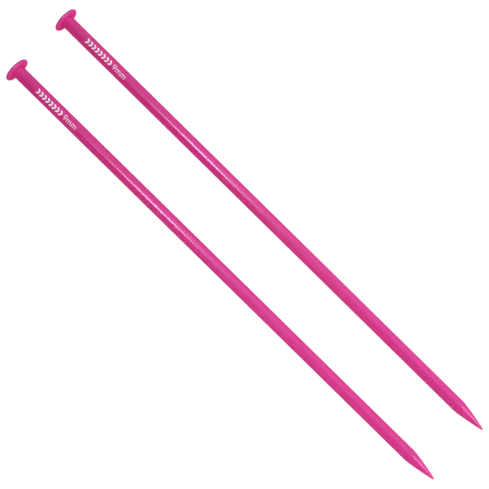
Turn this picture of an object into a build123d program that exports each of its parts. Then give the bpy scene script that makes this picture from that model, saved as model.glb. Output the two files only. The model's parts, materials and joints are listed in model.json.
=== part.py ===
from build123d import *
from math import asin, atan2, cos, degrees, hypot, radians, sin
import os

# A pair of single-pointed plastic knitting needles, lying side by side on a flat surface.
# Each needle is a hollow shaft moulded with a closed point, a round head whose spigot is
# pressed into the open end of the shaft, and two white marks printed near the head.
# Lengths are in millimetres and angles in degrees.
#
# A needle is drawn in its own frame: its axis is X, the middle of the back of the head is
# at x = 0, the point is at x = overall_length, and the print faces +Z and reads along +X.

# The pair
overall_length = 395.0
needle_spacing = 46.9  # between the two axes

# Shaft
shaft_diameter = 9.0
wall_thickness = 1.6
solid_behind_point = 6.0  # from the end of the bore to the shoulder of the point
bore_lead_in = 0.5
end_taper_depth = 0.2  # how much slimmer the shaft is at its open end
end_taper_past_seat = 0.1  # from the underside of the head to where the taper ends

# Point: a rounded nose, a long ogive and a soft shoulder, each tangent to the next
nose_radius = 0.7
nose_half_angle = 12.4
shoulder_half_angle = 8.5
shoulder_radius = 36.0

# Head
head_diameter = 18.5
head_edge_radius = 1.1
head_dome_rise = 0.9
head_wall = 1.9  # plastic left between the core of the spigot and the back of the head
seat_depth = 0.6  # how far the end of the shaft goes into the underside of the head
seat_clearance = 0.05
gate_well_radius = 1.3
gate_well_depth = 0.25
gate_stub_radius = 0.5
gate_stub_height = 0.15

# Spigot of the head, held in the bore by its crush ribs
spigot_length = 12.0
spigot_clearance = 0.06
spigot_chamfer = 0.8
spigot_wall = 1.5
rib_count = 4
rib_width = 0.9
rib_bite = 0.04  # how far each rib is larger than the bore
rib_lead_in = 1.0
rib_end_gap = 1.2  # from the free end of the spigot to the ribs
rib_root_gap = 0.8

# Print: a chain of knit stitches, then the size of the needle
ink_thickness = 0.05
print_start = 22.3
stitch_count = 8
stitch_pitch = 2.95
leaf_length = 3.0
leaf_width = 1.35
leaf_angle = 36.0
leaf_gap = 0.16  # between the two leaves of a stitch
size_mark_start = 46.9
stroke_width = 0.56
figure_height = 3.9
figure_width = 2.5
figure_tail_reach = 2.85  # radius of the outside of the tail of the 9
figure_tail_sweep = 68.0
letter_gap = 0.65
letter_height = 2.8
letter_pitch = 1.6  # between the legs of the letter m

shaft_radius = shaft_diameter / 2
bore_radius = shaft_radius - wall_thickness
head_radius = head_diameter / 2
spigot_radius = bore_radius - spigot_clearance
core_radius = spigot_radius - spigot_wall
seat_radius = shaft_radius + seat_clearance

# Stations along the needle
edge_centre_x = head_dome_rise + head_edge_radius
edge_centre_r = head_radius - head_edge_radius
underside_x = edge_centre_x + head_edge_radius
tube_end_x = underside_x - seat_depth
end_taper_x = underside_x + end_taper_past_seat
spigot_end_x = tube_end_x + spigot_length

# The back of the head is part of a sphere, tangent to the rounded edge
dome_radius = (edge_centre_x**2 + edge_centre_r**2 - head_edge_radius**2) / (2 * head_dome_rise)
dome_angle = degrees(atan2(edge_centre_r, dome_radius - edge_centre_x))

# The ogive joins the shoulder arc to the nose, so its radius follows from both
nose_slope = radians(nose_half_angle)
shoulder_slope = radians(shoulder_half_angle)
ogive_drop = shaft_radius - shoulder_radius * (1 - cos(shoulder_slope)) - nose_radius * cos(nose_slope)
ogive_radius = ogive_drop / (cos(shoulder_slope) - cos(nose_slope))
nose_centre_x = overall_length - nose_radius
ogive_end_x = nose_centre_x + nose_radius * sin(nose_slope)
ogive_start_x = ogive_end_x - ogive_radius * (sin(nose_slope) - sin(shoulder_slope))
shoulder_x = ogive_start_x - shoulder_radius * sin(shoulder_slope)
shoulder_centre_r = shaft_radius - shoulder_radius
bore_end_x = shoulder_x - solid_behind_point

# A needle lies on the edge of its head and on its shoulder. Its axis dips towards the
# point by the slope of the line that touches both of those arcs.
contact_run = shoulder_x - edge_centre_x
contact_drop = edge_centre_r - shoulder_centre_r
contact_turn = asin((head_edge_radius - shoulder_radius) / hypot(contact_run, contact_drop))
rest_slope = atan2(contact_drop, contact_run) + contact_turn
rest_height = edge_centre_x * sin(rest_slope) + edge_centre_r * cos(rest_slope) + head_edge_radius


def spun(outline):
    """The solid swept by a closed outline as it turns round the needle's axis."""
    return revolve(make_face(outline), axis=Axis.X)


def chained(*points):
    """The straight edges that join the points in order."""
    return [Line(start, end) for start, end in zip(points, points[1:])]


def shaft():
    """The hollow shaft with its closed point, open and slightly tapered at the head end."""
    ogive_reach = ogive_radius - shoulder_radius
    ogive_centre = (
        shoulder_x - ogive_reach * sin(shoulder_slope),
        shoulder_centre_r - ogive_reach * cos(shoulder_slope),
    )
    ogive_sweep = nose_half_angle - shoulder_half_angle
    point = [
        CenterArc((shoulder_x, shoulder_centre_r), shoulder_radius, 90, -shoulder_half_angle),
        CenterArc(ogive_centre, ogive_radius, 90 - shoulder_half_angle, -ogive_sweep),
        CenterArc((nose_centre_x, 0), nose_radius, 90 - nose_half_angle, nose_half_angle - 90),
    ]
    bore_end = CenterArc((bore_end_x - bore_radius, 0), bore_radius, 0, 90)
    tube_end = chained(
        (bore_end_x - bore_radius, bore_radius),
        (tube_end_x + bore_lead_in, bore_radius),
        (tube_end_x, bore_radius + bore_lead_in),
        (tube_end_x, shaft_radius - end_taper_depth),
        (end_taper_x, shaft_radius),
        (shoulder_x, shaft_radius),
    )
    axis_line = Line((overall_length, 0), (bore_end_x, 0))
    return spun([*point, axis_line, bore_end, *tube_end])


def button_and_spigot():
    """The head without its ribs: a domed button, the seat for the shaft and the cored spigot."""
    back = [
        CenterArc((dome_radius, 0), dome_radius, 180, -dome_angle),
        CenterArc((edge_centre_x, edge_centre_r), head_edge_radius, 180 - dome_angle, dome_angle - 180),
    ]
    seat_and_spigot = chained(
        (underside_x, edge_centre_r),
        (underside_x, seat_radius),
        (tube_end_x, seat_radius),
        (tube_end_x, spigot_radius),
        (spigot_end_x - spigot_chamfer, spigot_radius),
        (spigot_end_x, spigot_radius - spigot_chamfer),
        (spigot_end_x, core_radius),
        (head_wall + core_radius, core_radius),
    )
    core_end = CenterArc((head_wall + core_radius, 0), core_radius, 90, 90)
    axis_line = Line((head_wall, 0), (0, 0))
    return spun([*back, *seat_and_spigot, core_end, axis_line])


def crush_ribs():
    """Narrow ribs along the spigot that the bore squeezes, tapered where they enter it."""
    start_x = tube_end_x + rib_root_gap
    end_x = spigot_end_x - rib_end_gap
    inner_r = spigot_radius - spigot_wall / 2
    outer_r = bore_radius + rib_bite
    ring = spun(
        chained(
            (start_x, inner_r),
            (start_x, outer_r),
            (end_x - rib_lead_in, outer_r),
            (end_x, spigot_radius),
            (end_x, inner_r),
            (start_x, inner_r),
        )
    )
    blade = Pos((start_x + end_x) / 2, 0, outer_r / 2) * Box(end_x - start_x, rib_width, outer_r)
    blades = [Rot(X=360 * index / rib_count) * blade for index in range(rib_count)]
    return ring & (Part() + blades)


def head():
    """The head in one piece, with the gate's well and stub in the middle of its back."""
    well_end = Pos(gate_well_depth / 2, 0, 0)
    gate_well = well_end * Rot(Y=90) * Cylinder(gate_well_radius, gate_well_depth)
    stub_x = gate_well_depth - gate_stub_height / 2
    gate_stub = Pos(stub_x, 0, 0) * Rot(Y=90) * Cylinder(gate_stub_radius, gate_stub_height)
    return button_and_spigot() - gate_well + gate_stub + crush_ribs()


def leaf(slope):
    """One leaf-shaped half of a stitch, from the origin upwards and along X at a slope."""
    bulge = leaf_width / 2
    tip = (leaf_length, 0)
    upper = ThreePointArc((0, 0), (leaf_length / 2, bulge), tip)
    lower = ThreePointArc(tip, (leaf_length / 2, -bulge), (0, 0))
    return Rot(Z=slope) * make_face([upper, lower])


def stitch_mark():
    """A chain of knit stitches along the shaft, each a V of two leaves that opens to the head."""
    reach = leaf_length * cos(radians(leaf_angle))
    upper = Pos(reach, leaf_gap / 2) * leaf(180 - leaf_angle)
    lower = Pos(reach, -leaf_gap / 2) * leaf(180 + leaf_angle)
    stations = [print_start + index * stitch_pitch for index in range(stitch_count)]
    return [Pos(station) * half for station in stations for half in (upper, lower)]


def figure_nine():
    """The figure 9: a round bowl with a curved tail, standing on y = 0 from x = 0."""
    bowl_radius = figure_width / 2
    bowl_y = figure_height - bowl_radius
    bowl = Pos(bowl_radius, bowl_y) * (Circle(bowl_radius) - Circle(bowl_radius - stroke_width))
    tail_centre = (figure_width - figure_tail_reach, bowl_y)
    tail_line = CenterArc(tail_centre, figure_tail_reach - stroke_width / 2, 0, -figure_tail_sweep)
    return bowl + trace(tail_line, stroke_width)


def letter_m():
    """The letter m: three legs joined by two round arches, standing on y = 0 from x = 0."""
    arch_radius = letter_pitch / 2
    arch_y = letter_height - stroke_width / 2 - arch_radius
    legs = [Line((index * letter_pitch, 0), (index * letter_pitch, arch_y)) for index in (1, 2)]
    legs.append(Line((0, 0), (0, letter_height)))
    arches = [CenterArc(((index + 0.5) * letter_pitch, arch_y), arch_radius, 0, 180) for index in (0, 1)]
    strokes = [trace(line, stroke_width) for line in legs + arches]
    return Pos(stroke_width / 2) * (Sketch() + strokes)


def size_mark():
    """The needle size, 9 mm, centred on the top of the shaft."""
    baseline = -figure_height / 2
    letter_start = size_mark_start + figure_width + letter_gap
    letter_step = 2 * letter_pitch + stroke_width + letter_gap
    figure = Pos(size_mark_start, baseline) * figure_nine()
    letters = [Pos(letter_start + index * letter_step, baseline) * letter_m() for index in (0, 1)]
    return [figure, *letters]


def inked(shapes):
    """A film of ink on the top of the shaft, in the outline of flat shapes seen from above."""
    film_radius = shaft_radius + ink_thickness
    across_x = Pos(overall_length / 2, 0, 0) * Rot(Y=90)
    film = across_x * (Cylinder(film_radius, overall_length) - Cylinder(shaft_radius, overall_length))
    columns = [extrude(shape, film_radius) for shape in shapes]
    return Compound([solid for column in columns for solid in (column & film).solids()])


def laid_down(piece, side):
    """A piece of a needle, turned to lie on z = 0 and set to one side of the pair's middle."""
    middle_x = overall_length / 2 * cos(rest_slope)
    place = Pos(-middle_x, side * needle_spacing / 2, rest_height)
    return place * Rot(Y=degrees(rest_slope)) * piece


pieces = {
    "shaft": shaft(),
    "head": head(),
    "stitch_mark": inked(stitch_mark()),
    "size_mark": inked(size_mark()),
}

os.makedirs("parts", exist_ok=True)
for needle, side in {"left_needle": 1, "right_needle": -1}.items():
    for name, piece in pieces.items():
        export_step(laid_down(piece, side), f"parts/{needle}_{name}.step")
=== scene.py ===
import json
import math

import bpy
import numpy as np
from mathutils import Matrix, Vector


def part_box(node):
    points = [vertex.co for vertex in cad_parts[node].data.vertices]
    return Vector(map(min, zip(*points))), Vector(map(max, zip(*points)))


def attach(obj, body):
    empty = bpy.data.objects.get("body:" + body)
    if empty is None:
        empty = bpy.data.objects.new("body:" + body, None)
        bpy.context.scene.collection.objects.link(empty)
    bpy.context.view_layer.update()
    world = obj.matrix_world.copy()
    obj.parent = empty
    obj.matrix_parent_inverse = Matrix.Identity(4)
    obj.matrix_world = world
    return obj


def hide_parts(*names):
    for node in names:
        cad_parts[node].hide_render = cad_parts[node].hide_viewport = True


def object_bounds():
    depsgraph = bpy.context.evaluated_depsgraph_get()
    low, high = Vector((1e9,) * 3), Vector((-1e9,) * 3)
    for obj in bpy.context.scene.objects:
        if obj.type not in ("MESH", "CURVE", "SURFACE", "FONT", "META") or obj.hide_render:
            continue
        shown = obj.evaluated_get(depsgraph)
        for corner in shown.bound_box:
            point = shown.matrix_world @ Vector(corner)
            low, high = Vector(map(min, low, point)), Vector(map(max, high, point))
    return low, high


# A pair of straight plastic knitting needles on a pale table, seen from straight above.
# Each surface is worked out in its needle's own frame: x runs along the axis from the
# back of the head, y across and z up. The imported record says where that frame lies.

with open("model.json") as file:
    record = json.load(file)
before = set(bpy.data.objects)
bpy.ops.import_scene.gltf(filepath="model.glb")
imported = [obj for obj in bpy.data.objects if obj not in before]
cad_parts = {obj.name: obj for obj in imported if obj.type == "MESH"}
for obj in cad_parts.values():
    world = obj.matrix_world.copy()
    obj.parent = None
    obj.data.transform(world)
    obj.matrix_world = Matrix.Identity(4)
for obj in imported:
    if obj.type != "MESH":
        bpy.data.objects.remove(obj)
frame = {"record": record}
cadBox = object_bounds()
mm = 0.001
finest = 0.002 * mm  # outline points closer together than this become one
needles = ("left_needle", "right_needle")
mounts = {mount["name"]: mount for mount in frame["record"]["mounts"]}


def arcRun(centre, radius, start, end, steps):
    # points on a circle, from one angle to another: centre + radius * (cosine, sine)
    angles = np.linspace(start, end, steps + 1)
    return np.column_stack((centre[0] + radius * np.cos(angles), centre[1] + radius * np.sin(angles)))


def easedRun(corners, ease, steps=4):
    # straight runs whose inner corners are each rounded off by a quadratic curve that
    # starts and ends at the distance ease from the corner, or less on a short side:
    # (1 - share)^2 * start + 2 * share * (1 - share) * corner + share^2 * end
    corners = np.array(corners)
    mostOfSide = 0.45
    at = corners[1:-1]
    back, on = corners[:-2] - at, corners[2:] - at
    backLength = np.linalg.norm(back, axis=1, keepdims=True)
    onLength = np.linalg.norm(on, axis=1, keepdims=True)
    start = at + back / backLength * np.minimum(ease, backLength * mostOfSide)
    end = at + on / onLength * np.minimum(ease, onLength * mostOfSide)
    share = np.linspace(0, 1, steps + 1)[None, :, None]
    curve = (1 - share) ** 2 * start[:, None] + share**2 * end[:, None]
    curve = curve + 2 * share * (1 - share) * at[:, None]
    return np.vstack((corners[:1], curve.reshape(-1, 2), corners[-1:]))


def filledRun(points, step):
    # the same outline with points added, so that none are further apart than step
    length = np.append(0, np.cumsum(np.linalg.norm(np.diff(points, axis=0), axis=1)))
    places = np.union1d(length, np.arange(0, length[-1], step))
    places = places[np.append(True, np.diff(places) > finest)]
    return np.column_stack([np.interp(places, length, points[:, axis]) for axis in (0, 1)])


def crowdedAngles(columns, features, offsets):
    # even steps round the axis, with more beside each feature's angle: feature + offset
    closest = 0.001
    even = np.linspace(0, 2 * math.pi, columns, endpoint=False)
    extra = (np.array(features)[:, None] + np.array(offsets)[None, :]).ravel() % (2 * math.pi)
    angles = np.union1d(even, extra)
    return angles[np.append(True, np.diff(angles) > closest)]


def turnedSurface(outline, angles, relief):
    # Each outline point (along, radius) is carried round the axis, and relief is added to
    # its radius: x = along, y = radius * sin(angle), z = radius * cos(angle).
    # The first and last points lie on the axis, and each closes its end as one pole.
    along, radius = outline[1:-1, 0, None], outline[1:-1, 1, None]
    reach = radius + relief(along, radius, angles[None, :])
    rings = np.stack((along + 0 * reach, reach * np.sin(angles), reach * np.cos(angles)), axis=-1)
    poles = np.array([[outline[0, 0], 0, 0], [outline[-1, 0], 0, 0]])
    points = np.vstack((poles, rings.reshape(-1, 3)))
    here = 2 + np.arange(reach.size).reshape(reach.shape)
    beside = np.roll(here, -1, axis=1)
    quads = np.stack((here[:-1], here[1:], beside[1:], beside[:-1]), axis=-1).reshape(-1, 4)
    firstFan = np.stack((0 * here[0], here[0], beside[0]), axis=-1)
    lastFan = np.stack((0 * here[0] + 1, beside[-1], here[-1]), axis=-1)
    return points, quads.tolist() + firstFan.tolist() + lastFan.tolist()


def gridCells(shape):
    # the four corners of each cell of a grid, as the numbers of its points
    corner = np.arange(shape[0] * shape[1]).reshape(shape)
    return np.stack((corner[:-1, :-1], corner[1:, :-1], corner[1:, 1:], corner[:-1, 1:]), axis=-1)


def shaftRadiusOf(needle):
    return mounts[needle + "_shank"]["dims"]["r_mm"] * mm


def needleFrame(needle):
    # the back of the head on the axis, and the three directions of the needle's frame
    shank, stop = mounts[needle + "_shank"], mounts[needle + "_stop"]
    along = np.array(shank["axis"]) / np.linalg.norm(shank["axis"])
    across = np.array((0.0, 1.0, 0.0))
    up = np.cross(along, across)
    middle = np.array(shank["pos_m"])
    headThickness = headSettings["domeRise"] + 2 * headSettings["edgeRadius"]
    toStop = (np.array(stop["pos_m"]) - middle) @ along
    return middle + (toStop - headThickness) * along, np.stack((along, across, up))


def newPiece(name, needle, points, faces, rub, material):
    # points in the needle's frame become a mesh in the row frame, which rides with the needle
    origin, directions = needleFrame(needle)
    mesh = bpy.data.meshes.new(name)
    mesh.from_pydata(points @ directions + origin, [], faces)
    mesh.attributes.new("rub", "FLOAT", "POINT").data.foreach_set("value", rub.astype(np.float32))
    mesh.polygons.foreach_set("use_smooth", np.ones(len(mesh.polygons), bool))
    mesh.materials.append(material)
    mesh.update()
    piece = bpy.data.objects.new(name, mesh)
    bpy.context.scene.collection.objects.link(piece)
    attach(piece, needle)
    return piece


headSettings = {
    "edgeRadius": 1.1 * mm,
    "domeRise": 0.9 * mm,
    "seatDepth": 0.6 * mm,
    "seatClearance": 0.05 * mm,
    "wallOverCore": 1.9 * mm,
    "wellRadius": 1.3 * mm,  # the gate's well in the middle of the back
    "wellDepth": 0.25 * mm,
    "stubRadius": 0.5 * mm,
    "stubHeight": 0.15 * mm,
    "spigotLength": 12.0 * mm,
    "spigotClearance": 0.06 * mm,
    "spigotChamfer": 0.8 * mm,
    "spigotWall": 1.5 * mm,
    "ribCount": 4,
    "ribWidth": 0.9 * mm,
    "ribBite": 0.04 * mm,
    "ribFlank": 0.06 * mm,  # width of a rib's side
    "ribRootGap": 0.8 * mm,
    "ribRootDepth": 0.01 * mm,
    "ribEndGap": 1.2 * mm,
    "ribLeadIn": 1.0 * mm,
    "cornerEase": 0.09 * mm,
    "flashHeight": 0.02 * mm,  # the mould's parting line round the edge
    "flashWidth": 0.07 * mm,
    "rowStep": 0.4 * mm,
    "columns": 144,
    "domeSteps": 14,
    "rimSteps": 64,
    "coreSteps": 8,
}


def headOutline(headRadius, shaftRadius, boreRadius):
    # From the stub in the gate's well, over the dome and round the edge to the flat
    # underside, into the shaft's seat, along the spigot and back down its core. The dome
    # is a circle that touches the edge's circle from outside.
    s = headSettings
    edge, rise = s["edgeRadius"], s["domeRise"]
    edgeX, edgeR = rise + edge, headRadius - edge
    domeRadius = (edgeX**2 + edgeR**2 - edge**2) / (2 * rise)
    domeAngle = math.atan2(edgeR, domeRadius - edgeX)
    wellAngle = math.asin(s["wellRadius"] / domeRadius)
    easeAngle, domeStart = 2 * wellAngle, 2.2 * wellAngle  # the well's rim blends into the dome
    wellRimX = domeRadius * (1 - math.cos(wellAngle))
    spigot = boreRadius - s["spigotClearance"]
    core = spigot - s["spigotWall"]
    seat = shaftRadius + s["seatClearance"]
    underX = edgeX + edge
    seatX = underX - s["seatDepth"]
    spigotEnd = seatX + s["spigotLength"]
    coreX = s["wallOverCore"] + core
    stubX = s["wellDepth"] - s["stubHeight"]
    well = easedRun([
        (stubX, 0), (stubX, s["stubRadius"]), (s["wellDepth"], s["stubRadius"]),
        (s["wellDepth"], s["wellRadius"]), (wellRimX, s["wellRadius"]),
        (domeRadius * (1 - math.cos(easeAngle)), domeRadius * math.sin(easeAngle)),
    ], s["cornerEase"] / 2)
    domeEnd = math.pi - domeAngle
    dome = arcRun((domeRadius, 0), domeRadius, math.pi - domeStart, domeEnd, s["domeSteps"])
    rim = arcRun((edgeX, edgeR), edge, domeEnd, 0, s["rimSteps"])
    spigotRun = easedRun([
        (underX, edgeR), (underX, seat), (seatX, seat), (seatX, spigot),
        (spigotEnd - s["spigotChamfer"], spigot), (spigotEnd, spigot - s["spigotChamfer"]),
        (spigotEnd, core), (coreX, core),
    ], s["cornerEase"])
    coreEnd = arcRun((coreX, 0), core, math.pi / 2, math.pi, s["coreSteps"])
    outline = filledRun(np.vstack((well, dome, rim, spigotRun, coreEnd)), s["rowStep"])
    outline[[0, -1], 1] = 0
    places = {"edgeX": edgeX, "edgeR": edgeR, "seatX": seatX, "spigotEnd": spigotEnd, "spigot": spigot}
    return outline, places


def headRelief(places, headRadius, boreRadius):
    # the flash line is a narrow bell round the edge, and each crush rib a flat-topped
    # ridge on the spigot that ramps down towards the spigot's free end
    s = headSettings

    def relief(along, radius, angle):
        flash = s["flashHeight"] * np.exp(-(((along - places["edgeX"]) / s["flashWidth"]) ** 2))
        flash = flash * (radius > headRadius - places["edgeX"])
        ribStart = places["seatX"] + s["ribRootGap"]
        ribEnd = places["spigotEnd"] - s["ribEndGap"]
        lengthwise = np.clip((along - ribStart) / s["ribFlank"], 0, 1)
        lengthwise = np.minimum(lengthwise, np.clip((ribEnd - along) / s["ribLeadIn"], 0, 1))
        pitch = 2 * math.pi / s["ribCount"]
        fromRib = np.abs((angle + pitch / 2) % pitch - pitch / 2) * places["spigot"]
        sideways = np.clip((s["ribWidth"] / 2 + s["ribFlank"] - fromRib) / s["ribFlank"], 0, 1)
        onSpigot = np.abs(radius - places["spigot"]) < s["ribRootDepth"]
        ribHeight = boreRadius + s["ribBite"] - places["spigot"]
        return flash + onSpigot * ribHeight * lengthwise * sideways

    return relief


def makeHead(needle, material):
    # the outline carried round the axis, with its sizes from the record and the CAD's box
    s = headSettings
    low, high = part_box(needle + "_head")
    headRadius = (high.y - low.y) / 2
    shaftRadius = shaftRadiusOf(needle)
    boreRadius = shaftRadius - shaftSettings["wall"]
    outline, places = headOutline(headRadius, shaftRadius, boreRadius)
    halfRib = s["ribWidth"] / 2 / places["spigot"]
    flank = s["ribFlank"] / places["spigot"]
    ribAngles = np.arange(s["ribCount"]) * 2 * math.pi / s["ribCount"]
    angles = crowdedAngles(s["columns"], ribAngles, (-halfRib - flank, -halfRib, halfRib, halfRib + flank))
    points, faces = turnedSurface(outline, angles, headRelief(places, headRadius, boreRadius))
    # hands and drawers rub the outer half of the edge most
    fromAxis = np.hypot(points[:, 1], points[:, 2])
    rub = np.clip((fromAxis - places["edgeR"]) / s["edgeRadius"], 0, 1) ** 2
    piece = newPiece(needle + "_moulded_head", needle, points, faces, rub, material)
    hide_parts(needle + "_head")


shaftSettings = {
    "wall": 1.6 * mm,
    "noseRadius": 0.7 * mm,
    "noseSlope": math.radians(12.4),
    "shoulderSlope": math.radians(8.5),
    "shoulderRadius": 36.0 * mm,
    "solidBehindPoint": 6.0 * mm,
    "boreLeadIn": 0.5 * mm,
    "endTaperDepth": 0.2 * mm,
    "endTaperPastSeat": 0.1 * mm,
    "cornerEase": 0.08 * mm,
    "seamHeight": 0.02 * mm,  # the mould's parting line down each side
    "seamWidth": 0.08 * mm,
    "seamColumns": (0.5, 1, 1.5, 2, 3),  # where the surface has points beside it, in widths
    "swell": 0.001 * mm,  # how far the skin wavers where the plastic shrank
    "swellWaves": (  # length of each wave, how many fit round the shaft, offset, share
        (9.0 * mm, 1, 0.0, 1.0),
        (4.1 * mm, -2, 1.3, 0.7),
        (21.0 * mm, 3, 0.4, 0.8),
    ),
    "rowStep": 3.0 * mm,
    "columns": 96,
    "endSteps": 8,
    "shoulderSteps": 12,
    "ogiveSteps": 24,
    "noseSteps": 12,
}


def shaftOutline(length, shaftRadius, underX):
    # From the round end of the bore, back along the bore to the open end, over the end's
    # taper and along the shaft. The point is three arcs, each touching the next: the
    # shoulder, the long ogive and the nose. The ogive's radius follows from the other two.
    s = shaftSettings
    bore = shaftRadius - s["wall"]
    nose, noseSlope = s["noseRadius"], s["noseSlope"]
    shoulder, shoulderSlope = s["shoulderRadius"], s["shoulderSlope"]
    drop = shaftRadius - shoulder * (1 - math.cos(shoulderSlope)) - nose * math.cos(noseSlope)
    ogive = drop / (math.cos(shoulderSlope) - math.cos(noseSlope))
    noseX = length - nose
    ogiveRun = ogive * (math.sin(noseSlope) - math.sin(shoulderSlope))
    shoulderX = noseX + nose * math.sin(noseSlope) - ogiveRun - shoulder * math.sin(shoulderSlope)
    shoulderR = shaftRadius - shoulder
    reach = ogive - shoulder
    ogiveCentre = (shoulderX - reach * math.sin(shoulderSlope), shoulderR - reach * math.cos(shoulderSlope))
    boreX = shoulderX - s["solidBehindPoint"] - bore
    openX = underX - headSettings["seatDepth"]
    quarter = math.pi / 2
    boreEnd = arcRun((boreX, 0), bore, 0, quarter, s["endSteps"])
    openEnd = easedRun([
        (boreX, bore), (openX + s["boreLeadIn"], bore), (openX, bore + s["boreLeadIn"]),
        (openX, shaftRadius - s["endTaperDepth"]), (underX + s["endTaperPastSeat"], shaftRadius),
        (shoulderX, shaftRadius),
    ], s["cornerEase"])
    straight = filledRun(np.vstack((boreEnd, openEnd)), s["rowStep"])
    point = np.vstack((
        arcRun((shoulderX, shoulderR), shoulder, quarter, quarter - shoulderSlope, s["shoulderSteps"])[1:],
        arcRun(ogiveCentre, ogive, quarter - shoulderSlope, quarter - noseSlope, s["ogiveSteps"])[1:],
        arcRun((noseX, 0), nose, quarter - noseSlope, 0, s["noseSteps"])[1:],
    ))
    outline = np.vstack((straight, point))
    outline[[0, -1], 1] = 0
    return outline, shoulderX


def shaftRelief(bore, shaftRadius):
    # Outside only: the seam is a narrow bell at each side of the needle, and the swell is
    # the sum of share * sine(along / length + around * angle + offset) over a few slow
    # waves. Both die away on the point.
    s = shaftSettings

    def relief(along, radius, angle):
        outside = np.clip((radius - bore) / (shaftRadius - bore), 0, 1) ** 3
        fromSeam = np.minimum(np.abs(angle - math.pi / 2), np.abs(angle - 1.5 * math.pi)) * radius
        seam = s["seamHeight"] * np.exp(-((fromSeam / s["seamWidth"]) ** 2))
        waves = 0
        for length, around, offset, share in s["swellWaves"]:
            waves = waves + share * np.sin(along / length + around * angle + offset)
        return outside * (seam + s["swell"] * waves)

    return relief


def makeShaft(needle, material):
    # the outline carried round the axis, as long as the CAD's shaft is
    s = shaftSettings
    origin, directions = needleFrame(needle)
    shaftRadius = shaftRadiusOf(needle)
    length = (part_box(needle + "_shaft")[1].x - origin[0]) / directions[0, 0]
    underX = headSettings["domeRise"] + 2 * headSettings["edgeRadius"]
    outline, shoulderX = shaftOutline(length, shaftRadius, underX)
    beside = np.array(s["seamColumns"]) * s["seamWidth"] / shaftRadius
    angles = crowdedAngles(s["columns"], (math.pi / 2, 1.5 * math.pi), (*-beside, 0, *beside))
    points, faces = turnedSurface(outline, angles, shaftRelief(shaftRadius - s["wall"], shaftRadius))
    # yarn and fingers polish the point, most of all its nose
    rub = np.clip((points[:, 0] - shoulderX) / (length - shoulderX), 0, 1) ** 3
    piece = newPiece(needle + "_moulded_shaft", needle, points, faces, rub, material)
    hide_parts(needle + "_shaft")


inkSettings = {
    "thickness": 0.05 * mm,
    "sunk": 0.03 * mm,  # how far the underside of the film lies inside the plastic
    "edgeRoll": 0.14 * mm,  # width of the film's rounded edge
    "cell": 0.085 * mm,
    "margin": 0.4 * mm,
    "trims": 4,
    "flattest": 0.2,  # the least slope that an edge point still slides by
}
stitchSettings = {
    "start": 22.3 * mm,
    "count": 8,
    "pitch": 2.95 * mm,
    "leafLength": 3.0 * mm,
    "leafWidth": 1.35 * mm,
    "leafAngle": math.radians(36),
    "gap": 0.16 * mm,
    "wear": 0.0,
}
sizeSettings = {
    "start": 46.9 * mm,
    "stroke": 0.56 * mm,
    "figureHeight": 3.9 * mm,
    "figureWidth": 2.5 * mm,
    "tailReach": 2.85 * mm,
    "tailSweep": math.radians(68),
    "letterGap": 0.65 * mm,
    "letterHeight": 2.8 * mm,
    "letterPitch": 1.6 * mm,
    "length": 12.0 * mm,
    "wear": 0.9,  # the thin strokes have lost some of their ink
}


def leafDistance(x, y, root, slope):
    # how far outside a leaf a place is: a leaf is where two equal discs overlap
    s = stitchSettings
    halfLength, halfWidth = s["leafLength"] / 2, s["leafWidth"] / 2
    disc = (halfLength**2 + halfWidth**2) / (2 * halfWidth)
    along = (x - root[0]) * math.cos(slope) + (y - root[1]) * math.sin(slope) - halfLength
    aside = np.abs((y - root[1]) * math.cos(slope) - (x - root[0]) * math.sin(slope))
    return np.hypot(along, aside + disc - halfWidth) - disc


def stitchDistance(x, y):
    # the nearest of all the leaves, two to a stitch, in a row along the shaft
    s = stitchSettings
    reach = s["leafLength"] * math.cos(s["leafAngle"])
    roots = s["start"] + reach + np.arange(s["count"]) * s["pitch"]
    upper = [leafDistance(x, y, (root, s["gap"] / 2), math.pi - s["leafAngle"]) for root in roots]
    lower = [leafDistance(x, y, (root, -s["gap"] / 2), math.pi + s["leafAngle"]) for root in roots]
    return np.min(upper + lower, axis=0)


def barDistance(x, y, middleX, lowY, highY, width):
    # an upright bar: the larger of the two overshoots
    return np.maximum(np.abs(x - middleX) - width / 2, np.abs(y - (lowY + highY) / 2) - (highY - lowY) / 2)


def ringDistance(x, y, centre, radius, width):
    # a ring: how far the place is from the ring's middle circle, less half its stroke
    return np.abs(np.hypot(x - centre[0], y - centre[1]) - radius) - width / 2


def nineDistance(x, y, startX, baseY):
    # a round bowl with a curved tail, which is a piece of a larger ring
    s = sizeSettings
    bowl = s["figureWidth"] / 2
    bowlY = baseY + s["figureHeight"] - bowl
    bowlPart = ringDistance(x, y, (startX + bowl, bowlY), bowl - s["stroke"] / 2, s["stroke"])
    tailX = startX + s["figureWidth"] - s["tailReach"]
    tail = ringDistance(x, y, (tailX, bowlY), s["tailReach"] - s["stroke"] / 2, s["stroke"])
    pastEnd = -(x - tailX) * math.sin(s["tailSweep"]) - (y - bowlY) * math.cos(s["tailSweep"])
    tail = np.maximum(tail, np.maximum(y - bowlY, pastEnd))
    return np.minimum(bowlPart, tail)


def emDistance(x, y, startX, baseY):
    # three upright bars joined by two half rings
    s = sizeSettings
    stroke, arch = s["stroke"], s["letterPitch"] / 2
    archY = baseY + s["letterHeight"] - stroke / 2 - arch
    legs = startX + stroke / 2 + np.arange(3) * s["letterPitch"]
    tops = (baseY + s["letterHeight"], archY, archY)
    bars = [barDistance(x, y, leg, baseY, top, stroke) for leg, top in zip(legs, tops)]
    rings = [ringDistance(x, y, (leg + arch, archY), arch, stroke) for leg in legs[:2]]
    upperHalves = [np.maximum(ring, archY - y) for ring in rings]
    return np.min(bars + upperHalves, axis=0)


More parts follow.
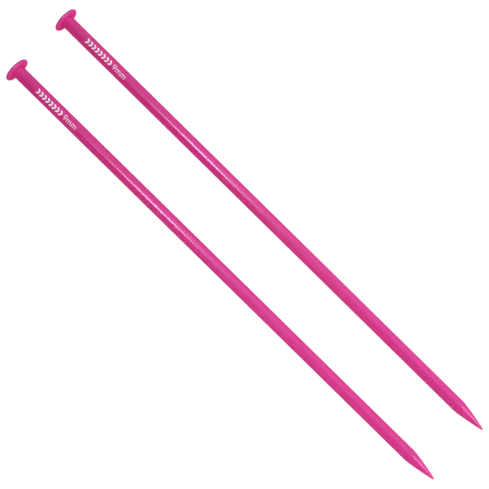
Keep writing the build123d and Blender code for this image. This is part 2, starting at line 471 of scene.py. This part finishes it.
def sizeDistance(x, y):
    # the figure and the two letters of the size, centred on the top of the shaft
    s = sizeSettings
    baseY = -s["figureHeight"] / 2
    letterX = s["start"] + s["figureWidth"] + s["letterGap"]
    letterStep = 2 * s["letterPitch"] + s["stroke"] + s["letterGap"]
    letters = [emDistance(x, y, letterX + index * letterStep, baseY) for index in (0, 1)]
    return np.min([nineDistance(x, y, s["start"], baseY), *letters], axis=0)


def inkFilm(distance, low, high, shaftRadius):
    # The film is a sheet over a grid of places on the shaft. Its height is full inside the
    # marks and rolls off to nothing over edgeRoll, as a quarter of an ellipse. Grid points
    # on the edge slide along the distance's slope onto the outline. A second sheet inside
    # the plastic shares the edge points and closes the film.
    s = inkSettings
    columns, rows = (np.arange(low[axis], high[axis], s["cell"]) for axis in (0, 1))
    x, y = np.meshgrid(columns, rows, indexing="ij")
    outside = distance(x, y)
    middle = distance(x[:-1, :-1] + s["cell"] / 2, y[:-1, :-1] + s["cell"] / 2)
    kept = middle < 0
    cells = gridCells(x.shape)
    for trim in range(s["trims"]):  # a cell with every corner on the edge has no thickness
        uses = np.bincount(cells[kept].ravel(), minlength=x.size)
        kept &= (uses[cells] == 4).any(axis=-1)
    cells = cells[kept]
    uses = np.bincount(cells.ravel(), minlength=x.size).reshape(x.shape)
    onEdge = (uses > 0) & (uses < 4)
    slopeX, slopeY = np.gradient(outside, s["cell"])
    steep = np.maximum(slopeX**2 + slopeY**2, s["flattest"])
    placeX = x - onEdge * outside * slopeX / steep
    placeY = y - onEdge * outside * slopeY / steep
    depth = np.clip(-outside / s["edgeRoll"], 0, 1)
    height = s["thickness"] * np.sqrt(1 - (1 - depth) ** 2)
    used = uses.ravel() > 0
    inner = used & ~onEdge.ravel()
    topIndex = np.cumsum(used) - 1
    lowIndex = np.where(inner, used.sum() + np.cumsum(inner) - 1, topIndex)
    edgeDepth = s["sunk"] / 3  # the shared edge lies just inside the plastic
    topRadius = shaftRadius + np.where(onEdge, -edgeDepth, height).ravel()
    lowRadius = np.full(x.size, shaftRadius - s["sunk"])
    px, py = placeX.ravel(), placeY.ravel()

    def sheet(chosen, radius):
        # wrapped on the shaft: z = square root of (radius^2 - y^2)
        return np.column_stack((px, py, np.sqrt(radius**2 - py**2)))[chosen]

    points = np.vstack((sheet(used, topRadius), sheet(inner, lowRadius)))
    faces = np.vstack((topIndex[cells], lowIndex[cells][:, ::-1]))
    thin = 1 - depth.ravel()
    return points, faces.tolist(), np.append(thin[used], thin[inner])


def makeInk(needle, mark, distance, s, size, material):
    # size is the mark's length and width; worn ink lets the plastic's colour show through
    margin = inkSettings["margin"]
    shaftRadius = shaftRadiusOf(needle)
    low = (s["start"] - margin, -size[1] / 2 - margin)
    high = (s["start"] + size[0] + margin, size[1] / 2 + margin)
    points, faces, rub = inkFilm(distance, low, high, shaftRadius)
    rub = s["wear"] + (1 - s["wear"]) * rub
    piece = newPiece(f"{needle}_{mark}_ink", needle, points, faces, rub, material)
    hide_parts(f"{needle}_{mark}")


def newGroup(name, inputs, outputs):
    # an empty shader group with named sockets, and its two end nodes
    group = bpy.data.node_groups.new(name, "ShaderNodeTree")
    for inOut, sockets in (("INPUT", inputs), ("OUTPUT", outputs)):
        for socketName, kind in sockets.items():
            group.interface.new_socket(name=socketName, in_out=inOut, socket_type="NodeSocket" + kind)
    return group, group.nodes.new("NodeGroupInput"), group.nodes.new("NodeGroupOutput")


def addNode(tree, kind, sockets=None, **values):
    # a node with its settings, and each socket either linked or given a value
    node = tree.nodes.new(kind)
    for key, value in values.items():
        setattr(node, key, value)
    for key, value in (sockets or {}).items():
        if isinstance(value, bpy.types.NodeSocket):
            tree.links.new(value, node.inputs[key])
        else:
            node.inputs[key].default_value = value
    return node


def stretchedNoise(tree, place, stretch, detail=2.0, distortion=0.0):
    # noise whose grain is set separately along each axis, in features per metre
    scaled = addNode(tree, "ShaderNodeVectorMath", {0: place, 1: stretch}, operation="MULTIPLY")
    sockets = {"Vector": scaled.outputs[0], "Scale": 1.0, "Detail": detail, "Distortion": distortion}
    return addNode(tree, "ShaderNodeTexNoise", sockets).outputs[0]


def remapped(tree, value, fromLow, fromHigh, toLow, toHigh):
    # one range stretched onto another, held at its ends
    sockets = {"Value": value, "From Min": fromLow, "From Max": fromHigh, "To Min": toLow, "To Max": toHigh}
    return addNode(tree, "ShaderNodeMapRange", sockets).outputs[0]


def combined(tree, operation, first, second):
    return addNode(tree, "ShaderNodeMath", {0: first, 1: second}, operation=operation).outputs[0]


def mixedColour(tree, factor, first, second):
    # sockets 0, 6 and 7 of the node are its factor and its two colours
    return addNode(tree, "ShaderNodeMix", {0: factor, 6: first, 7: second}, data_type="RGBA").outputs[2]


# A stretch is in features per metre along x, y and z, so the needle's length comes first.
# A range is the part of the noise that is stretched onto nothing to full.
grainSettings = {
    "broadPatches": {"stretch": (24, 160, 160), "detail": 3.0, "distortion": 0.6},
    "fineStreaks": {"stretch": (70, 1500, 1500), "distortion": 0.3},
    "flowRange": (0.3, 0.8),
    "scratches": {"stretch": (45, 5200, 5200), "distortion": 0.4},
    "scratchRange": (0.6, 0.72),
    "scratchPatches": {"stretch": (60, 180, 180)},
    "scratchPatchRange": (0.4, 0.65),
    "smudges": {"stretch": (55, 120, 120), "detail": 4.0, "distortion": 1.2},
    "smudgeRange": (0.42, 0.72),
    "ripple": {"stretch": (420, 420, 420)},
    "rippleHeight": 0.3,
    "rubbedGrain": {"stretch": (900, 900, 900), "detail": 3.0},
    "rubbedRange": (0.3, 0.7),
    "rubbedLeast": 0.35,  # the share of the rub that is left in the finest gaps of the grain
}


def makePigmentFlow():
    # pigment drawn out along the flow of the melt or the sweep of the pad: broad patches
    # with finer streaks in them, from the base colour towards the flow colour
    s = grainSettings
    group, source, sink = newGroup(
        "pigmentFlow",
        {"Place": "Vector", "Colour": "Color", "Flow Colour": "Color", "Amount": "Float"},
        {"Colour": "Color"},
    )
    place = source.outputs["Place"]
    broad = stretchedNoise(group, place, **s["broadPatches"])
    fine = stretchedNoise(group, place, **s["fineStreaks"])
    broad = combined(group, "MULTIPLY", broad, broad)
    fine = combined(group, "MULTIPLY", fine, fine)
    blend = combined(group, "ADD", broad, fine)
    share = remapped(group, blend, *s["flowRange"], 0.0, 1.0)
    share = combined(group, "MULTIPLY", share, source.outputs["Amount"])
    colour = mixedColour(group, share, source.outputs["Colour"], source.outputs["Flow Colour"])
    group.links.new(colour, sink.inputs["Colour"])
    return group


def makeHandling():
    # Hairline scratches run along the needle, where stitches slide, and soft smudges from
    # fingers lie over them. Both roughen the skin. The height is a slow ripple, less the
    # scratches.
    s = grainSettings
    group, source, sink = newGroup(
        "handling",
        {"Place": "Vector", "Skin": "Float", "Scratches": "Float", "Smudges": "Float"},
        {"Roughness": "Float", "Height": "Float"},
    )
    place = source.outputs["Place"]
    hairs = stretchedNoise(group, place, **s["scratches"])
    hairs = remapped(group, hairs, *s["scratchRange"], 0.0, 1.0)
    patches = stretchedNoise(group, place, **s["scratchPatches"])
    patches = remapped(group, patches, *s["scratchPatchRange"], 0.0, 1.0)
    hairs = combined(group, "MULTIPLY", hairs, patches)
    smudges = stretchedNoise(group, place, **s["smudges"])
    smudges = remapped(group, smudges, *s["smudgeRange"], 0.0, 1.0)
    rough = combined(group, "MULTIPLY", hairs, source.outputs["Scratches"])
    rough = combined(group, "ADD", rough, combined(group, "MULTIPLY", smudges, source.outputs["Smudges"]))
    group.links.new(combined(group, "ADD", rough, source.outputs["Skin"]), sink.inputs["Roughness"])
    ripple = stretchedNoise(group, place, **s["ripple"])
    ripple = remapped(group, ripple, 0.0, 1.0, 0.0, s["rippleHeight"])
    height = combined(group, "SUBTRACT", ripple, hairs)
    group.links.new(height, sink.inputs["Height"])
    return group


def makeRubbedEdge():
    # the rub mask of a piece, broken up by grain, fades a colour towards the rubbed colour
    s = grainSettings
    group, source, sink = newGroup(
        "rubbedEdge",
        {"Place": "Vector", "Colour": "Color", "Rubbed Colour": "Color", "Amount": "Float"},
        {"Colour": "Color", "Mask": "Float"},
    )
    rub = addNode(group, "ShaderNodeAttribute", attribute_name="rub").outputs["Fac"]
    grain = stretchedNoise(group, source.outputs["Place"], **s["rubbedGrain"])
    grain = remapped(group, grain, *s["rubbedRange"], s["rubbedLeast"], 1.0)
    mask = combined(group, "MULTIPLY", combined(group, "MULTIPLY", rub, grain), source.outputs["Amount"])
    colour = mixedColour(group, mask, source.outputs["Colour"], source.outputs["Rubbed Colour"])
    group.links.new(colour, sink.inputs["Colour"])
    group.links.new(mask, sink.inputs["Mask"])
    return group


plasticSettings = {
    "colour": (0.63, 0.038, 0.240, 1),
    "flowColour": (0.605, 0.035, 0.228, 1),
    "rubbedColour": (0.67, 0.060, 0.30, 1),
    "flow": 0.55,
    "rub": 0.5,
    "rubbedRoughness": 0.5,
    "skin": 0.185,
    "scratches": 0.05,
    "smudges": 0.03,
    "bumpDistance": 0.0002 * mm,
    "ior": 1.54,
    "gloss": 0.69,
    "glossTint": (1.0, 0.7, 1.0, 1),
}
inkColours = {
    "colour": (0.93, 0.88, 0.91, 1),
    "flowColour": (0.90, 0.77, 0.84, 1),
    "rubbedColour": (0.85, 0.45, 0.62, 1),
    "flow": 0.35,
    "rub": 0.55,
    "rubbedRoughness": 0.1,
    "skin": 0.38,
    "scratches": 0.15,
    "smudges": 0.06,
    "bumpDistance": 0.002 * mm,
    "ior": 1.48,
    "gloss": 0.4,
    "glossTint": (1.0, 1.0, 1.0, 1),
}


def makeFinish(name, s, groups):
    # flow colour, then rubbed edges, then the handled skin with its fine relief
    material = bpy.data.materials.new(name)
    material.use_nodes = True
    tree = material.node_tree
    shader = tree.nodes["Principled BSDF"]
    place = tree.nodes.new("ShaderNodeTexCoord").outputs["Object"]
    flow = addNode(tree, "ShaderNodeGroup", node_tree=groups["flow"])
    rubbed = addNode(tree, "ShaderNodeGroup", node_tree=groups["rub"])
    handled = addNode(tree, "ShaderNodeGroup", node_tree=groups["handling"])
    for node in (flow, rubbed, handled):
        tree.links.new(place, node.inputs["Place"])
    flow.inputs["Colour"].default_value = s["colour"]
    flow.inputs["Flow Colour"].default_value = s["flowColour"]
    flow.inputs["Amount"].default_value = s["flow"]
    tree.links.new(flow.outputs["Colour"], rubbed.inputs["Colour"])
    rubbed.inputs["Rubbed Colour"].default_value = s["rubbedColour"]
    rubbed.inputs["Amount"].default_value = s["rub"]
    roughness = remapped(tree, rubbed.outputs["Mask"], 0.0, 1.0, 0.0, s["rubbedRoughness"])
    roughness = combined(tree, "ADD", handled.outputs["Roughness"], roughness)
    handled.inputs["Skin"].default_value = s["skin"]
    handled.inputs["Scratches"].default_value = s["scratches"]
    handled.inputs["Smudges"].default_value = s["smudges"]
    sockets = {"Height": handled.outputs["Height"], "Distance": s["bumpDistance"]}
    bump = addNode(tree, "ShaderNodeBump", sockets)
    tree.links.new(rubbed.outputs["Colour"], shader.inputs["Base Color"])
    tree.links.new(roughness, shader.inputs["Roughness"])
    tree.links.new(bump.outputs["Normal"], shader.inputs["Normal"])
    shader.inputs["IOR"].default_value = s["ior"]
    shader.inputs["Specular IOR Level"].default_value = s["gloss"]
    shader.inputs["Specular Tint"].default_value = s["glossTint"]
    return material


groups = {"flow": makePigmentFlow(), "handling": makeHandling(), "rub": makeRubbedEdge()}
needlePlastic = makeFinish("glossyNeedlePlastic", plasticSettings, groups)
whiteInk = makeFinish("whitePadInk", inkColours, groups)
print("materials made: needle plastic and white ink")

stitchSize = (
    stitchSettings["count"] * stitchSettings["pitch"],
    2 * stitchSettings["leafLength"] * math.sin(stitchSettings["leafAngle"]),
)
figuresSize = (sizeSettings["length"], sizeSettings["figureHeight"])
for needle in needles:
    makeShaft(needle, needlePlastic)
    makeHead(needle, needlePlastic)
    makeInk(needle, "stitch_mark", stitchDistance, stitchSettings, stitchSize, whiteInk)
    makeInk(needle, "size_mark", sizeDistance, sizeSettings, figuresSize, whiteInk)
    print(needle, "made: shaft, head and two printed marks")


tableSettings = {
    "size": 6.0,
    "cells": 8,
    "gap": 0.02 * mm,  # between the table and the needles
    "glow": 0.97,  # the table is lit from below, so that shadows stay faint
    "glowOnNeedles": 0.99,
    "glowColour": (1.0, 1.0, 1.0, 1),
    "paintedPinkReflectionColour": (0.42, 0.03, 0.17, 1),  # painted pink reflection: glossy rays see the glow pink, so the needles' shiny skin reflects pink
    "colour": (0.06, 0.06, 0.06, 1),
    "grain": {"stretch": (900, 900, 900), "detail": 3.0},
    "grainRange": (0.3, 0.7),
    "roughness": (0.75, 0.9),  # at the two ends of the grain's range
}


def makeTable():
    # A flat square just under the needles, with a paper grain in its dull skin. It glows,
    # and a needle's shiny skin sees the glow dimmer and painted pink, a painted reflection.
    s = tableSettings
    side = np.linspace(-s["size"] / 2, s["size"] / 2, s["cells"] + 1)
    x, y = np.meshgrid(side, side, indexing="ij")
    height = cadBox[0].z - s["gap"]
    points = np.stack((x, y, np.full(x.shape, height)), axis=-1).reshape(-1, 3)
    mesh = bpy.data.meshes.new("table")
    mesh.from_pydata(points, [], gridCells(x.shape).reshape(-1, 4).tolist())
    material = bpy.data.materials.new("paleTable")
    material.use_nodes = True
    tree = material.node_tree
    shader = tree.nodes["Principled BSDF"]
    place = tree.nodes.new("ShaderNodeTexCoord").outputs["Object"]
    grain = stretchedNoise(tree, place, **s["grain"])
    roughness = remapped(tree, grain, *s["grainRange"], *s["roughness"])
    tree.links.new(roughness, shader.inputs["Roughness"])
    shader.inputs["Base Color"].default_value = s["colour"]
    shader.inputs["Specular IOR Level"].default_value = 0.0
    path = tree.nodes.new("ShaderNodeLightPath")
    # glossy rays see the painted pink reflection colour in place of the white glow
    glowColour = mixedColour(tree, path.outputs["Is Glossy Ray"], s["glowColour"], s["paintedPinkReflectionColour"])
    tree.links.new(glowColour, shader.inputs["Emission Color"])
    glow = remapped(tree, path.outputs["Is Camera Ray"], 0.0, 1.0, s["glowOnNeedles"], s["glow"])
    tree.links.new(glow, shader.inputs["Emission Strength"])
    material.cycles.emission_sampling = "NONE"  # so that light samples go to the panels
    mesh.materials.append(material)
    table = bpy.data.objects.new("table", mesh)
    bpy.context.scene.collection.objects.link(table)


roomSettings = {
    "colour": (1.0, 0.9, 1.06, 1),
    "backdropColour": (1.0, 1.0, 1.0, 1),
    "backdrop": 0.98,  # what the camera sees past the table
    "windowSide": 0.68,  # how bright the room is towards the left needle's side
    "windowRange": (-0.3, 0.7),  # the directions' y over which it brightens
    "headsSide": 0.5,  # how much of that is left towards the heads
    "headsRange": (-0.32, -0.16),  # the directions' x over which it brightens
}


def makeRoom():
    # a dark room for the needles to reflect, brighter towards one side and darker towards
    # the heads; the camera sees it as a white backdrop
    s = roomSettings
    world = bpy.data.worlds.new("room")
    world.use_nodes = True
    world.cycles.sampling_method = "NONE"
    bpy.context.scene.world = world
    tree = world.node_tree
    background = tree.nodes["Background"]
    direction = tree.nodes.new("ShaderNodeTexCoord").outputs["Generated"]
    towards = addNode(tree, "ShaderNodeSeparateXYZ", {0: direction})
    sideways = remapped(tree, towards.outputs["Y"], *s["windowRange"], 0.0, s["windowSide"])
    endways = remapped(tree, towards.outputs["X"], *s["headsRange"], s["headsSide"], 1.0)
    around = combined(tree, "MULTIPLY", sideways, endways)
    seen = tree.nodes.new("ShaderNodeLightPath").outputs["Is Camera Ray"]
    colour = mixedColour(tree, seen, s["colour"], s["backdropColour"])
    tree.links.new(colour, background.inputs["Color"])
    level = remapped(tree, seen, 0.0, 1.0, around, s["backdrop"])
    tree.links.new(level, background.inputs["Strength"])


# Each light is a flat panel. The ones that only fill have no reflection of their own.
lightSettings = {
    "overheadPanel": {
        "place": (-0.145, -0.01, 1.0), "target": (-0.145, -0.01, 0.0), "size": (0.075, 0.42),
        "power": 3.0, "colour": (1.0, 0.93, 0.95), "spread": 180, "reflected": True,
    },
    "leaningPanel": {
        "place": (-0.06, 0.45, 0.89), "target": (-0.04, 0.0, 0.0), "size": (0.11, 1.0),
        "power": 0.52, "colour": (1.0, 0.95, 1.02), "spread": 180, "reflected": True,
    },
    "pointPanel": {
        "place": (0.93, 0.66, 0.82), "target": (0.185, 0.0, 0.0), "size": (0.5, 0.6),
        "power": 3.75, "colour": (0.97, 0.985, 1.04), "spread": 180, "reflected": True,
    },
    "warmFill": {
        "place": (0.45, -1.0, 0.55), "target": (0.0, 0.0, 0.0), "size": (1.2, 0.8),
        "power": 6.4, "colour": (1.12, 0.94, 0.88), "spread": 180, "reflected": False,
    },
    "endFill": {
        "place": (1.2, 0.9, 0.30), "target": (-0.19, 0.0, 0.01), "size": (0.4, 0.4),
        "power": 7.0, "colour": (1.0, 0.97, 1.0), "spread": 180, "reflected": False,
    },
    "gridLeft": {
        "place": (0.10, 0.6, 0.65), "target": (0.10, 0.0, 0.0), "size": (0.10, 0.5),
        "power": 0.11, "colour": (0.9, 1.02, 1.1), "spread": 46, "reflected": False,
    },
    "gridRight": {
        "place": (0.10, -0.6, 0.65), "target": (0.10, 0.0, 0.0), "size": (0.10, 0.5),
        "power": 0.15, "colour": (0.9, 1.05, 1.03), "spread": 46, "reflected": False,
    },
}


def makeLights():
    # each panel faces its target, with its first side across the line to it and level
    for name, s in lightSettings.items():
        data = bpy.data.lights.new(name, "AREA")
        data.shape = "RECTANGLE"
        data.size, data.size_y = s["size"]
        data.energy = s["power"]
        data.color = s["colour"]
        data.spread = math.radians(s["spread"])
        lamp = bpy.data.objects.new(name, data)
        inward = Vector(s["target"]) - Vector(s["place"])
        across = Vector((0, 1, 0)) if abs(inward.x) > abs(inward.y) else Vector((1, 0, 0))
        sideways = across.cross(inward).normalized()
        across = inward.cross(sideways).normalized()
        columns = (across, sideways, -inward.normalized())
        if across.cross(sideways).dot(columns[2]) < 0:
            columns = (across, -sideways, columns[2])
        lamp.matrix_world = Matrix.Translation(s["place"]) @ Matrix(columns).transposed().to_4x4()
        lamp.visible_glossy = s["reflected"]
        bpy.context.scene.collection.objects.link(lamp)


cameraSettings = {
    "height": 0.600,  # above the needles' axes
    "towardsHeads": 4.8 * mm,  # from the middle of the pair
    "lens": 65.67,
    "clipStart": 0.01,
    "roll": math.radians(44.49),  # turns the needles on the slant, points to the lower right
}


def makeCamera():
    # straight above the pair and looking down
    s = cameraSettings
    data = bpy.data.cameras.new("camera")
    data.lens = s["lens"]
    data.clip_start = s["clipStart"]
    camera = bpy.data.objects.new("camera", data)
    low, high = cadBox
    axisHeight = mounts["left_needle_shank"]["pos_m"][2]
    middle = (low + high) / 2
    place = Vector((middle.x - s["towardsHeads"], middle.y, axisHeight + s["height"]))
    camera.matrix_world = Matrix.Translation(place) @ Matrix.Rotation(s["roll"], 4, "Z")
    bpy.context.scene.collection.objects.link(camera)
    bpy.context.scene.camera = camera


makeTable()
makeRoom()
makeLights()
makeCamera()
bpy.context.scene.view_settings.view_transform = "Standard"
print("table, lights and camera placed")
